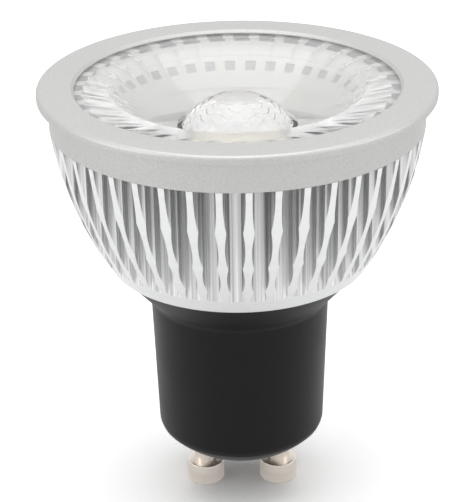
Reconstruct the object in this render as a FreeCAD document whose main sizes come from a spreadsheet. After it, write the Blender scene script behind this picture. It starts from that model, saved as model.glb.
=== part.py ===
import FreeCAD, Part
import Sketcher
import math
import operator
import os
import types

# Spotlight bulb: two contact pins, a moulded base, a finned heat sink, a clear lens and a front ring.
# Millimetres, +Z up, origin on the bulb's axis at the underside of the pins' feet, pins along X.

# Driving dimensions
DIMENSIONS = {
    # Fits
    "fit_gap": 0.1,
    "lens_play": 0.05,
    "screw_gap": 0.05,
    # Contact pins
    "pin_pitch": 10.0,
    "foot_diameter": 5.0,
    "foot_height": 2.8,
    "foot_edge_radius": 0.35,
    "stem_diameter": 3.0,
    "stem_length": 4.5,
    "shank_diameter": 2.4,
    "rivet_diameter": 3.8,
    "rivet_height": 0.7,
    # Base housing
    "base_floor": 2.0,
    "tip_diameter": 16.4,
    "tip_height": 2.5,
    "tip_arc_radius": 12.0,
    "neck_low_diameter": 22.05,
    "neck_top_diameter": 23.3,
    "neck_height": 18.7,
    "flare_diameter": 32.8,
    "flare_height": 5.35,
    "driver_bore_diameter": 19.2,
    "collar_wall": 1.4,
    "boss_diameter": 4.8,
    "boss_height": 7.0,
    "rail_width": 1.1,
    "rail_grip": 0.9,
    # Heat sink
    "sink_bottom_diameter": 33.5,
    "sink_height": 18.75,
    "bowl_arc_radius": 46.1,
    "fin_count": 43,
    "fin_thickness": 1.37,
    "scallop_pitch": 1.8,
    "scallop_depth": 0.29,
    "core_wall": 0.7,
    "spigot_height": 1.6,
    "sink_floor": 4.5,
    "driver_well_diameter": 29.0,
    "driver_well_depth": 6.15,
    "lens_well_gap": 0.33,
    "led_well_depth": 3.4,
    # Front ring
    "ring_diameter": 50.0,
    "flange_overhang": 1.4,
    "flange_thickness": 1.1,
    "ring_edge_radius": 0.5,
    "band_wall": 1.7,
    "lip_thickness": 0.5,
    "lip_overlap": 0.55,
    # Lens
    "lens_inset": 2.7,
    "lens_height": 10.7,
    "lens_flange_thickness": 1.05,
    "lens_ledge": 1.5,
    "lens_foot_diameter": 16.8,
    "lens_foot_wall": 1.4,
    "lens_foot_height": 1.5,
    "lens_rim_width": 4.9,
    "funnel_depth": 5.05,
    "funnel_floor_diameter": 15.2,
    "dome_diameter": 14.0,
    "dome_height": 3.95,
    "pocket_depth": 3.9,
    "pocket_top_diameter": 12.8,
    "pocket_bulge": 0.7,
    "flute_count": 36,
    "flute_radius": 3.6,
    "flute_depth": 0.35,
    "flute_run_out": 0.5,
    # LED board
    "pad_thickness": 0.25,
    "led_board_diameter": 25.0,
    "led_board_thickness": 1.6,
    "phosphor_diameter": 11.6,
    "phosphor_height": 0.6,
    "dam_width": 1.0,
    "dam_height": 0.9,
    # Screws
    "led_screw_circle": 21.2,
    "led_screw_diameter": 2.0,
    "led_screw_length": 4.5,
    "led_screw_head_diameter": 3.4,
    "led_screw_head_height": 1.2,
    "base_screw_inset": 2.0,
    "base_screw_diameter": 2.4,
    "base_screw_length": 10.0,
    "base_screw_head_diameter": 4.6,
    "base_screw_head_height": 1.2,
    # Driver board and its components
    "driver_board_width": 16.6,
    "driver_board_height": 27.4,
    "driver_board_thickness": 1.0,
    "driver_board_offset": 2.5,
    "core_width": 10.5,
    "core_depth": 4.8,
    "core_height": 9.6,
    "core_leg": 2.8,
    "core_yoke": 1.5,
    "transformer_height": 12.2,
    "bobbin_width": 7.0,
    "bobbin_depth": 8.8,
    "bobbin_wall": 0.5,
    "winding_inset": 0.25,
    "winding_round": 1.2,
    "input_can_diameter": 6.3,
    "output_can_diameter": 5.0,
    "can_length": 10.0,
    "can_rise": 18.8,
    "can_offset": 4.0,
    "can_edge": 0.4,
    "crimp_depth": 0.3,
    "crimp_height": 1.2,
    "can_lead_pitch": 2.0,
    "can_lead_drop": 0.9,
    "component_lead_diameter": 0.5,
    "component_lead_bend": 0.5,
    "film_width": 9.0,
    "film_depth": 3.8,
    "film_height": 8.0,
    "film_rise": 5.4,
    "film_edge_radius": 0.6,
    "chip_width": 4.8,
    "chip_depth": 1.5,
    "chip_height": 3.9,
    "chip_lead_width": 0.5,
    "chip_lead_depth": 0.75,
    "chip_lead_reach": 0.9,
    "chip_lead_pitch": 1.95,
    "bridge_rise": 2.6,
    "driver_chip_rise": 17.0,
    "fuse_diameter": 2.6,
    "fuse_length": 7.5,
    "fuse_bevel": 0.65,
    "fuse_rise": 4.9,
    "fuse_lead_reach": 1.0,
    # Insulated leads
    "lead_diameter": 0.9,
    "lead_hole_diameter": 1.5,
    "lead_hole_x": 3.0,
    "lead_hole_inset": 2.3,
    "led_lead_rise": 25.0,
    "led_lead_end": 1.9,
    "mains_lead_rise": 1.5,
    "lead_bend": 2.0,
    "lead_tight_bend": 0.8,
}


# Sizes that stay bound to the sheet

def as_size(number):
    if isinstance(number, Size):
        return number
    return Size(float(number), repr(float(number)))


def joined(first, sign, second, function):
    first = as_size(first)
    second = as_size(second)
    return Size(function(first.value, second.value), f"({first.text} {sign} {second.text})")


class Size:
    """A length worked out from the sheet: its number now, and the expression that keeps it bound."""

    def __init__(self, value, text):
        self.value = value
        self.text = text

    def __add__(self, other):
        return joined(self, "+", other, operator.add)

    def __radd__(self, other):
        return joined(other, "+", self, operator.add)

    def __sub__(self, other):
        return joined(self, "-", other, operator.sub)

    def __rsub__(self, other):
        return joined(other, "-", self, operator.sub)

    def __mul__(self, other):
        return joined(self, "*", other, operator.mul)

    def __rmul__(self, other):
        return joined(other, "*", self, operator.mul)

    def __truediv__(self, other):
        return joined(self, "/", other, operator.truediv)

    def __rtruediv__(self, other):
        return joined(other, "/", self, operator.truediv)

    def __neg__(self):
        return joined(0.0, "-", self, operator.sub)


def root(size):
    return Size(math.sqrt(size.value), f"sqrt({size.text})")


def sine(degrees):
    return Size(math.sin(math.radians(degrees.value)), f"sin({degrees.text})")


def cosine(degrees):
    return Size(math.cos(math.radians(degrees.value)), f"cos({degrees.text})")


def larger(first, second):
    return Size(max(first.value, second.value), f"max({first.text}; {second.text})")


def cap_radius(half_width, height):
    """Radius of the round whose cap has this half width and height."""
    return (half_width * half_width + height * height) / (2 * height)


# The document and its sheet

doc = FreeCAD.newDocument("spotlight_bulb")
sheet = doc.addObject("Spreadsheet::Sheet", "dims")
for row, (alias, number) in enumerate(DIMENSIONS.items(), start=1):
    sheet.set(f"A{row}", alias)
    sheet.set(f"B{row}", str(number))
    sheet.setAlias(f"B{row}", alias)
doc.recompute()
d = types.SimpleNamespace(**{alias: Size(float(sheet.get(alias)), f"dims.{alias}") for alias in DIMENSIONS})
nodes = []


# Sketches

def origin_feature(body, role):
    return next(feature for feature in body.Origin.OriginFeatures if feature.Role == role)


def new_sketch(body, name, role, height=None):
    """A sketch on one of the body's own planes, lifted along the plane's normal where a height is given."""
    sketch = body.newObject("Sketcher::SketchObject", name)
    sketch.AttachmentSupport = [(origin_feature(body, role), "")]
    sketch.MapMode = "FlatFace"
    if height is not None:
        sketch.setExpression("AttachmentOffset.Base.z", as_size(height).text)
    return sketch


def bind_constraint(sketch, constraint, size):
    index = sketch.addConstraint(constraint)
    sketch.setExpression(f"Constraints[{index}]", size.text)


def place_point(sketch, geometry, position, across, up):
    """Ties a point to the sketch's origin; a plain zero puts it on the axis."""
    for kind, axis, size in (("DistanceX", -2, across), ("DistanceY", -1, up)):
        if isinstance(size, Size):
            constraint = Sketcher.Constraint(kind, -1, 1, geometry, position, size.value)
            bind_constraint(sketch, constraint, size)
        else:
            sketch.addConstraint(Sketcher.Constraint("PointOnObject", geometry, position, axis))


def flat_point(corner):
    return FreeCAD.Vector(as_size(corner[0]).value, as_size(corner[1]).value, 0)


def arc_between(start, end, radius):
    """The shorter arc that runs counter-clockwise from start to end."""
    chord = end - start
    left = FreeCAD.Vector(-chord.y, chord.x, 0).normalize()
    centre = (start + end) * 0.5 + left * math.sqrt(radius ** 2 - (chord.Length / 2) ** 2)
    first = math.atan2(start.y - centre.y, start.x - centre.x)
    last = math.atan2(end.y - centre.y, end.x - centre.x)
    return Part.ArcOfCircle(Part.Circle(centre, FreeCAD.Vector(0, 0, 1), radius), first, last)


def draw_outline(sketch, corners, arcs=None):
    """A closed outline; arcs gives, by the number of the corner it leaves, each arc's radius and turn."""
    arcs = arcs or {}
    first = sketch.GeometryCount
    starts = []
    ends = []
    for number, corner in enumerate(corners):
        here = flat_point(corner)
        there = flat_point(corners[(number + 1) % len(corners)])
        if number not in arcs:
            sketch.addGeometry(Part.LineSegment(here, there))
            backwards = False
        else:
            radius, turn = arcs[number]
            backwards = turn == "right"
            run = (there, here) if backwards else (here, there)
            sketch.addGeometry(arc_between(*run, radius.value))
        starts.append(2 if backwards else 1)
        ends.append(1 if backwards else 2)
    for number, corner in enumerate(corners):
        after = (number + 1) % len(corners)
        meeting = ("Coincident", first + number, ends[number], first + after, starts[after])
        sketch.addConstraint(Sketcher.Constraint(*meeting))
        place_point(sketch, first + number, starts[number], *corner)
    for number, (radius, turn) in arcs.items():
        bind_constraint(sketch, Sketcher.Constraint("Radius", first + number, radius.value), radius)


def draw_circle(sketch, across, up, radius):
    centre = flat_point((across, up))
    geometry = sketch.addGeometry(Part.Circle(centre, FreeCAD.Vector(0, 0, 1), radius.value))
    place_point(sketch, geometry, 3, across, up)
    bind_constraint(sketch, Sketcher.Constraint("Radius", geometry, radius.value), radius)


def draw_rounded_box(sketch, left, low, right, high, radius):
    corners = [
        (left + radius, low),
        (right - radius, low),
        (right, low + radius),
        (right, high - radius),
        (right - radius, high),
        (left + radius, high),
        (left, high - radius),
        (left, low + radius),
    ]
    bend = (radius, "left")
    draw_outline(sketch, corners, {1: bend, 3: bend, 5: bend, 7: bend})


# Features of a body

def new_body(label):
    return doc.addObject("PartDesign::Body", label)


def keep(piece):
    """Counts a finished piece as a node of the part."""
    nodes.append(piece)
    return piece


def revolve(body, name, corners, arcs=None, axis="V_Axis"):
    sketch = new_sketch(body, name + "_profile", "XZ_Plane")
    draw_outline(sketch, corners, arcs)
    feature = body.newObject("PartDesign::Revolution", name)
    feature.Profile = sketch
    feature.ReferenceAxis = (sketch, [axis])
    feature.Angle = 360
    doc.recompute()
    return feature


def check_cut(body, before, name):
    doc.recompute()
    if body.Shape.Volume > before - 1e-6:
        raise RuntimeError(name + " cuts nothing")


def groove(body, name, corners, arcs=None, axis="V_Axis"):
    before = body.Shape.Volume
    sketch = new_sketch(body, name + "_profile", "XZ_Plane")
    draw_outline(sketch, corners, arcs)
    feature = body.newObject("PartDesign::Groove", name)
    feature.Profile = sketch
    feature.ReferenceAxis = (sketch, [axis])
    feature.Angle = 360
    check_cut(body, before, name)
    return feature


def pad(body, name, sketch, length):
    feature = body.newObject("PartDesign::Pad", name)
    feature.Profile = sketch
    feature.setExpression("Length", as_size(length).text)
    doc.recompute()
    return feature


def pocket(body, name, sketch, depth, upward=False):
    before = body.Shape.Volume
    feature = body.newObject("PartDesign::Pocket", name)
    feature.Profile = sketch
    feature.Reversed = upward
    feature.setExpression("Length", as_size(depth).text)
    check_cut(body, before, name)
    return feature


def repeat_round(body, name, feature, count):
    """Repeats a cut evenly round the bulb's axis."""
    before = body.Shape.Volume
    pattern = body.newObject("PartDesign::PolarPattern", name)
    pattern.Originals = [feature]
    pattern.Axis = (origin_feature(body, "Z_Axis"), [""])
    pattern.Angle = 360
    pattern.setExpression("Occurrences", as_size(count).text)
    body.Tip = pattern
    check_cut(body, before, name)


def move(piece, x=None, y=None, z=None):
    for axis, size in (("x", x), ("y", y), ("z", z)):
        if size is not None:
            piece.setExpression(f"Placement.Base.{axis}", as_size(size).text)


# Primitives and booleans

def block(name, sizes, corner):
    box = doc.addObject("Part::Box", name)
    for side, size in zip(("Length", "Width", "Height"), sizes):
        box.setExpression(side, as_size(size).text)
    move(box, *corner)
    return box


def fuse(label, shapes):
    union = doc.addObject("Part::MultiFuse", label)
    union.Shapes = shapes
    return union


def cut(label, base, tool):
    remainder = doc.addObject("Part::Cut", label)
    remainder.Base = base
    remainder.Tool = tool
    return remainder


def pair(label, piece, normal):
    """A piece and its mirror image across the plane through the axis, as two solids in one node."""
    image = doc.addObject("Part::Mirroring", label + "_image")
    image.Source = piece
    image.Normal = normal
    both = doc.addObject("Part::Compound", label)
    both.Links = [piece, image]
    return both


def bent_wire(label, points, diameter, bends):
    """A round wire through the points, with an arc of the given radius at each inner one."""
    stops = [FreeCAD.Vector(*(as_size(number).value for number in point)) for point in points]
    edges = []
    start = stops[0]
    for before, corner, after, bend in zip(stops, stops[1:], stops[2:], bends):
        back = (before - corner).normalize()
        on = (after - corner).normalize()
        half_turn = (math.pi - back.getAngle(on)) / 2
        trim = bend.value * math.tan(half_turn)
        inward = (back + on).normalize() * (bend.value / math.cos(half_turn) - bend.value)
        edges.append(Part.LineSegment(start, corner + back * trim).toShape())
        edges.append(Part.Arc(corner + back * trim, corner + inward, corner + on * trim).toShape())
        start = corner + on * trim
    edges.append(Part.LineSegment(start, stops[-1]).toShape())
    path = Part.Wire(edges)
    section = Part.Wire([Part.Circle(stops[0], stops[1] - stops[0], diameter.value / 2).toShape()])
    wire = doc.addObject("Part::Feature", label)
    wire.Shape = path.makePipeShell([section], True, True)
    return wire


# Heights, from the pins' feet up
base_bottom = d.foot_height + d.stem_length
base_floor_top = base_bottom + d.base_floor
tip_top = base_bottom + d.tip_height
neck_top = tip_top + d.neck_height
sink_bottom = neck_top + d.flare_height
driver_well_top = sink_bottom + d.driver_well_depth
sink_floor_top = driver_well_top + d.sink_floor
sink_shoulder = sink_bottom + d.sink_height
spigot_top = sink_shoulder + d.spigot_height
led_board_bottom = sink_floor_top + d.pad_thickness
led_board_top = led_board_bottom + d.led_board_thickness
lens_cone_bottom = led_board_top + d.lens_foot_height
lens_top = led_board_top + d.lens_height
lens_cone_top = lens_top - d.lens_flange_thickness
funnel_floor = lens_top - d.funnel_depth
lip_bottom = lens_top + d.lens_play
ring_top = lip_bottom + d.lip_thickness
flange_bottom = ring_top - d.flange_thickness
collar_top = driver_well_top - d.fit_gap

# Radii, from the ring inwards
ring_radius = d.ring_diameter / 2
band_radius = ring_radius - d.flange_overhang
spigot_radius = band_radius - d.band_wall
lens_radius = band_radius - d.lens_inset
lens_cone_radius = lens_radius - d.lens_ledge
lens_foot_radius = d.lens_foot_diameter / 2
cone_spread = (lens_cone_radius - lens_foot_radius) / (lens_cone_top - lens_cone_bottom)
lens_well_radius = lens_foot_radius + (spigot_top - lens_cone_bottom) * cone_spread + d.lens_well_gap
core_radius = lens_well_radius + d.core_wall
led_board_radius = d.led_board_diameter / 2
led_screw_reach = (d.led_screw_circle + d.led_screw_head_diameter) / 2
led_well_radius = larger(led_board_radius, led_screw_reach) + d.lens_well_gap
lead_hole_y = led_board_radius - d.lead_hole_inset
driver_bore_radius = d.driver_bore_diameter / 2
collar_radius = d.driver_well_diameter / 2 - d.fit_gap
chamber_radius = collar_radius - d.collar_wall
base_screw_x = chamber_radius - d.base_screw_inset

# The driver board stands behind the pins; its front faces -Y
board_front = d.driver_board_offset
board_back = board_front + d.driver_board_thickness

# The two board screws lie on a diagonal, clear of the leads and the base screws
DIAGONAL = math.cos(math.radians(45))
led_screw_side = d.led_screw_circle / 2 * DIAGONAL


# The pieces

def make_contact_pin(label, x):
    """A turned pin: a wide foot, a stem up to the base, and a shank riveted over inside."""
    foot_radius = d.foot_diameter / 2
    stem_radius = d.stem_diameter / 2
    shank_radius = d.shank_diameter / 2
    edge = d.foot_edge_radius
    rivet_top = base_floor_top + d.rivet_height
    body = new_body(label)
    corners = [
        (0, 0),
        (foot_radius - edge, 0),
        (foot_radius, edge),
        (foot_radius, d.foot_height - edge),
        (foot_radius - edge, d.foot_height),
        (stem_radius, d.foot_height),
        (stem_radius, base_bottom),
        (shank_radius, base_bottom),
        (shank_radius, base_floor_top),
        (d.rivet_diameter / 2, base_floor_top),
        (shank_radius, rivet_top),
        (0, rivet_top),
    ]
    rounds = {1: (edge, "left"), 3: (edge, "left")}
    revolve(body, label + "_turned", corners, rounds)
    move(body, x=x)
    return keep(body)


def make_base_housing():
    """The moulded base: tip, neck and flare outside, rails for the driver board and screw bosses inside."""
    flare_radius = d.flare_diameter / 2
    body = new_body("base_housing")
    outside = [
        (0, base_bottom),
        (d.tip_diameter / 2, base_bottom),
        (d.neck_low_diameter / 2, tip_top),
        (d.neck_top_diameter / 2, neck_top),
        (flare_radius, sink_bottom),
        (collar_radius, sink_bottom),
        (collar_radius, collar_top),
        (0, collar_top),
    ]
    revolve(body, "base_outside", outside, {1: (d.tip_arc_radius, "left")})

    rail_tip = d.driver_board_width / 2 - d.rail_grip
    slot_front = board_front - d.fit_gap
    slot_back = board_back + d.fit_gap
    levels = [slot_front - d.rail_width, slot_front, slot_back, slot_back + d.rail_width]
    walls = [root(driver_bore_radius * driver_bore_radius - level * level) for level in levels]
    right = [
        (walls[0], levels[0]),
        (rail_tip, levels[0]),
        (rail_tip, levels[1]),
        (walls[1], levels[1]),
        (walls[2], levels[2]),
        (rail_tip, levels[2]),
        (rail_tip, levels[3]),
        (walls[3], levels[3]),
    ]
    left = [(-x, y) for x, y in reversed(right)]
    bore = right + left + [(0, -driver_bore_radius)]
    wall = (driver_bore_radius, "left")
    sketch = new_sketch(body, "driver_bore_outline", "XY_Plane", base_floor_top)
    draw_outline(sketch, bore, {3: wall, 7: wall, 11: wall, 15: wall, 16: wall})
    pocket(body, "driver_bore", sketch, neck_top - base_floor_top, upward=True)

    chamber = [
        (0, neck_top),
        (driver_bore_radius, neck_top),
        (chamber_radius, sink_bottom),
        (chamber_radius, collar_top),
        (0, collar_top),
    ]
    groove(body, "collar_chamber", chamber)

    sketch = new_sketch(body, "boss_outline", "XY_Plane", collar_top - d.boss_height)
    for side in (1, -1):
        draw_circle(sketch, side * base_screw_x, 0, d.boss_diameter / 2)
    pad(body, "screw_bosses", sketch, d.boss_height)

    sketch = new_sketch(body, "boss_hole_outline", "XY_Plane", collar_top)
    for side in (1, -1):
        draw_circle(sketch, side * base_screw_x, 0, d.base_screw_diameter / 2 + d.screw_gap)
    pocket(body, "boss_holes", sketch, d.boss_height)

    sketch = new_sketch(body, "pin_hole_outline", "XY_Plane", base_bottom)
    for side in (1, -1):
        draw_circle(sketch, side * d.pin_pitch / 2, 0, d.shank_diameter / 2 + d.screw_gap)
    pocket(body, "pin_holes", sketch, d.base_floor, upward=True)
    return keep(body)


def fin_gap_outline():
    """The space between two fins: a flat floor, and flanks made of scallops that meet in ridges."""
    half_pitch = 180 / d.fin_count
    half_fin = d.fin_thickness / 2
    neck = half_fin - d.scallop_depth
    first_ridge = core_radius + d.scallop_pitch / 2
    ridge_count = math.ceil((ring_radius - core_radius).value / d.scallop_pitch.value)
    ridges = [first_ridge + d.scallop_pitch * number for number in range(ridge_count)]
    along = [(core_radius, neck)]
    along += [(ridge, half_fin) for ridge in ridges]
    along += [(ring_radius + d.scallop_pitch, half_fin)]
    lean = sine(half_pitch)
    reach = cosine(half_pitch)
    upper = [(run * reach + half * lean, run * lean - half * reach) for run, half in along]
    lower = [(x, -y) for x, y in reversed(upper)]
    scallop = cap_radius(d.scallop_pitch / 2, d.scallop_depth)
    last = len(upper) - 2
    upper_arcs = {number: (scallop, "right") for number in range(last)}
    lower_arcs = {len(upper) + 1 + number: (scallop, "right") for number in range(last)}
    return upper + lower, {**upper_arcs, **lower_arcs}


def make_heat_sink():
    """An extruded, scalloped profile whose outside is turned to one arc, with wells from both ends."""
    hole_top = d.base_screw_head_diameter / 2 + d.fit_gap
    hole_radius = d.base_screw_diameter / 2 + d.fit_gap
    led_hole_radius = d.led_screw_diameter / 2 + d.screw_gap
    body = new_body("heat_sink")
    turned = [
        (0, driver_well_top),
        (d.driver_well_diameter / 2, driver_well_top),
        (d.driver_well_diameter / 2, sink_bottom),
        (d.sink_bottom_diameter / 2, sink_bottom),
        (band_radius, sink_shoulder),
        (spigot_radius, sink_shoulder),
        (spigot_radius, spigot_top),
        (lens_well_radius, spigot_top),
        (led_well_radius, sink_floor_top + d.led_well_depth),
        (led_well_radius, sink_floor_top),
        (0, sink_floor_top),
    ]
    revolve(body, "sink_turned", turned, {3: (d.bowl_arc_radius, "left")})

    screw_hole = [
        (base_screw_x, driver_well_top),
        (base_screw_x + hole_radius, driver_well_top),
        (base_screw_x + hole_radius, sink_floor_top - d.base_screw_head_height),
        (base_screw_x + hole_top, sink_floor_top),
        (base_screw_x, sink_floor_top),
    ]
    feature = groove(body, "base_screw_hole", screw_hole, axis="Edge5")
    repeat_round(body, "base_screw_holes", feature, 2)

    sketch = new_sketch(body, "led_screw_hole_outline", "XY_Plane", sink_floor_top)
    for side in (1, -1):
        draw_circle(sketch, side * led_screw_side, -side * led_screw_side, led_hole_radius)
    pocket(body, "led_screw_holes", sketch, d.led_screw_length)

    sketch = new_sketch(body, "lead_hole_outline", "XY_Plane", sink_floor_top)
    for side in (1, -1):
        draw_circle(sketch, side * d.lead_hole_x, lead_hole_y, d.lead_hole_diameter / 2)
    pocket(body, "lead_holes", sketch, d.sink_floor)

    sketch = new_sketch(body, "fin_gap_outline", "XY_Plane", sink_bottom)
    draw_outline(sketch, *fin_gap_outline())
    feature = pocket(body, "fin_gap", sketch, d.sink_height + d.spigot_height, upward=True)
    repeat_round(body, "fin_gaps", feature, d.fin_count)
    return keep(body)


def make_front_ring():
    """The turned ring: a lip over the lens, a wide flange and a band over the heat sink's spigot."""
    edge = d.ring_edge_radius
    ring_bore = lens_radius + d.fit_gap
    lip_radius = lens_radius - d.lip_overlap
    spigot_bore = spigot_radius + d.fit_gap
    body = new_body("front_ring")
    corners = [
        (lip_radius, lip_bottom),
        (ring_bore, lip_bottom),
        (ring_bore, spigot_top),
        (spigot_bore, spigot_top),
        (spigot_bore, sink_shoulder),
        (band_radius, sink_shoulder),
        (band_radius, flange_bottom),
        (ring_radius, flange_bottom),
        (ring_radius, ring_top - edge),
        (ring_radius - edge, ring_top),
        (lip_radius, ring_top),
    ]
    revolve(body, "ring_turned", corners, {8: (edge, "left")})
    return keep(body)


def make_lens():
    """A clear collimator: foot round the light source, fluted cone, flange, open funnel and centre dome."""
    dome_radius = d.dome_diameter / 2
    pocket_radius = d.pocket_top_diameter / 2
    pocket_edge = led_board_top + d.pocket_depth
    body = new_body("lens")
    corners = [
        (0, pocket_edge - d.pocket_bulge),
        (pocket_radius, pocket_edge),
        (lens_foot_radius - d.lens_foot_wall, led_board_top),
        (lens_foot_radius, led_board_top),
        (lens_foot_radius, lens_cone_bottom),
        (lens_cone_radius, lens_cone_top),
        (lens_radius, lens_cone_top),
        (lens_radius, lens_top),
        (lens_radius - d.lens_rim_width, lens_top),
        (d.funnel_floor_diameter / 2, funnel_floor),
        (dome_radius, funnel_floor),
        (0, funnel_floor + d.dome_height),
    ]
    rounds = {
        0: (cap_radius(pocket_radius, d.pocket_bulge), "left"),
        10: (cap_radius(dome_radius, d.dome_height), "left"),
    }
    revolve(body, "lens_turned", corners, rounds)

    slant = root((lens_cone_radius - lens_foot_radius) * (lens_cone_radius - lens_foot_radius)
                 + (lens_cone_top - lens_cone_bottom) * (lens_cone_top - lens_cone_bottom))
    out = (lens_cone_top - lens_cone_bottom) / slant
    down = (lens_cone_radius - lens_foot_radius) / slant
    low_offset = d.flute_radius + d.flute_run_out
    top_offset = d.flute_radius - d.flute_depth
    low = (lens_foot_radius + out * low_offset, lens_cone_bottom - down * low_offset)
    top = (lens_cone_radius + out * top_offset, lens_cone_top - down * top_offset)
    flute = [
        low,
        top,
        (top[0] - out * d.flute_radius, top[1] + down * d.flute_radius),
        (low[0] - out * d.flute_radius, low[1] + down * d.flute_radius),
    ]
    feature = groove(body, "lens_flute", flute, axis="Edge1")
    repeat_round(body, "lens_flutes", feature, d.flute_count)
    return keep(body)


def make_drilled_disc(label, bottom, thickness):
    """A round plate, drilled for the two board screws and the two leads."""
    hole_radius = d.led_screw_diameter / 2 + d.fit_gap
    body = new_body(label)
    sketch = new_sketch(body, label + "_outline", "XY_Plane", bottom)
    draw_circle(sketch, 0, 0, led_board_radius)
    pad(body, label + "_plate", sketch, thickness)
    sketch = new_sketch(body, label + "_hole_outline", "XY_Plane", bottom + thickness)
    for side in (1, -1):
        draw_circle(sketch, side * led_screw_side, -side * led_screw_side, hole_radius)
        draw_circle(sketch, side * d.lead_hole_x, lead_hole_y, d.lead_hole_diameter / 2)
    pocket(body, label + "_holes", sketch, thickness)
    return keep(body)


def make_light_source():
    """The yellow emitting disc on the board, and the white ring round it."""
    inner = d.phosphor_diameter / 2
    outer = inner + d.dam_width
    disc = new_body("phosphor_disc")
    top = led_board_top + d.phosphor_height
    revolve(disc, "phosphor_fill", [(0, led_board_top), (inner, led_board_top), (inner, top), (0, top)])
    keep(disc)
    dam = new_body("phosphor_dam")
    crest = led_board_top + d.dam_height
    revolve(dam, "dam_bead", [(inner, led_board_top), (outer, led_board_top), (outer, crest), (inner, crest)])
    keep(dam)


def make_led_screws():
    """Two round-headed screws through the LED board into the heat sink's floor."""
    head = d.led_screw_head_diameter / 2
    shank = d.led_screw_diameter / 2
    head_top = led_board_top + d.led_screw_head_height
    tip = led_board_top - d.led_screw_length
    screw = new_body("led_screw")
    corners = [
        (0, tip),
        (shank, tip),
        (shank, led_board_top),
        (head, led_board_top),
        (0, head_top),
    ]
    revolve(screw, "led_screw_turned", corners, {3: (cap_radius(head, d.led_screw_head_height), "left")})
    move(screw, x=led_screw_side, y=-led_screw_side)
    return keep(pair("led_screws", screw, FreeCAD.Vector(1, -1, 0)))


def make_base_screws():
    """Two countersunk screws through the heat sink's floor into the base's bosses."""
    head = d.base_screw_head_diameter / 2
    shank = d.base_screw_diameter / 2
    head_top = sink_floor_top - d.screw_gap
    screw = new_body("base_screw")
    corners = [
        (0, head_top - d.base_screw_length),
        (shank, head_top - d.base_screw_length),
        (shank, head_top - d.base_screw_head_height),
        (head, head_top),
        (0, head_top),
    ]
    revolve(screw, "base_screw_turned", corners)
    move(screw, x=base_screw_x)
    return keep(pair("base_screws", screw, FreeCAD.Vector(1, 0, 0)))


def make_driver_board():
    sizes = (d.driver_board_width, d.driver_board_thickness, d.driver_board_height)
    corner = (-d.driver_board_width / 2, board_front, base_floor_top)
    return keep(block("driver_board", sizes, corner))


def make_transformer():
    """A core with two windows, a bobbin on its middle leg that stands on the board, and the winding."""
    middle = base_floor_top + d.transformer_height
    window_height = d.core_height - 2 * d.core_yoke
    window_width = (d.core_width - d.core_leg) / 2 - d.core_yoke
    core_back = board_front - (d.bobbin_depth - d.core_depth) / 2
    core_front = core_back - d.core_depth
    core_bottom = middle - d.core_height / 2
    window_bottom = middle - window_height / 2

    core_sizes = (d.core_width, d.core_depth, d.core_height)
    frame = block("core_block", core_sizes, (-d.core_width / 2, core_front, core_bottom))
    windows = []
    for name, x in (("right", d.core_leg / 2), ("left", -d.core_leg / 2 - window_width)):
        sizes = (window_width, d.core_depth, window_height)
        windows.append(block("core_window_" + name, sizes, (x, core_front, window_bottom)))
    keep(cut("transformer_core", frame, fuse("core_windows", windows)))

    leg_width = d.core_leg + 2 * d.screw_gap
    leg_depth = d.core_depth + 2 * d.screw_gap
    tube_width = leg_width + 2 * d.bobbin_wall
    tube_depth = leg_depth + 2 * d.bobbin_wall
    bobbin_height = window_height - 2 * d.screw_gap
    bobbin_bottom = window_bottom + d.screw_gap
    bobbin_y = board_front - d.bobbin_depth
    tube_y = core_front - d.screw_gap - d.bobbin_wall
    tube_sizes = (tube_width, tube_depth, bobbin_height)
    flange_sizes = (d.bobbin_width, d.bobbin_depth, d.bobbin_wall)
    flange_top = bobbin_bottom + bobbin_height - d.bobbin_wall
    spool = fuse("bobbin_spool", [
        block("bobbin_tube", tube_sizes, (-tube_width / 2, tube_y, bobbin_bottom)),
        block("bobbin_low_flange", flange_sizes, (-d.bobbin_width / 2, bobbin_y, bobbin_bottom)),
        block("bobbin_top_flange", flange_sizes, (-d.bobbin_width / 2, bobbin_y, flange_top)),
    ])
    leg = block(
        "bobbin_leg_hole",
        (leg_width, leg_depth, bobbin_height),
        (-leg_width / 2, core_front - d.screw_gap, bobbin_bottom),
    )
    keep(cut("transformer_bobbin", spool, leg))

    body = new_body("transformer_winding")
    sketch = new_sketch(body, "winding_outline", "XY_Plane", bobbin_bottom + d.bobbin_wall)
    half = d.bobbin_width / 2 - d.winding_inset
    front = bobbin_y + d.winding_inset
    back = board_front - d.winding_inset
    draw_rounded_box(sketch, -half, front, half, back, d.winding_round)
    inner_half = tube_width / 2
    inner = [(-inner_half, tube_y), (inner_half, tube_y)]
    inner += [(inner_half, tube_y + tube_depth), (-inner_half, tube_y + tube_depth)]
    draw_outline(sketch, inner)
    pad(body, "winding_turns", sketch, bobbin_height - 2 * d.bobbin_wall)
    keep(body)


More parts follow.
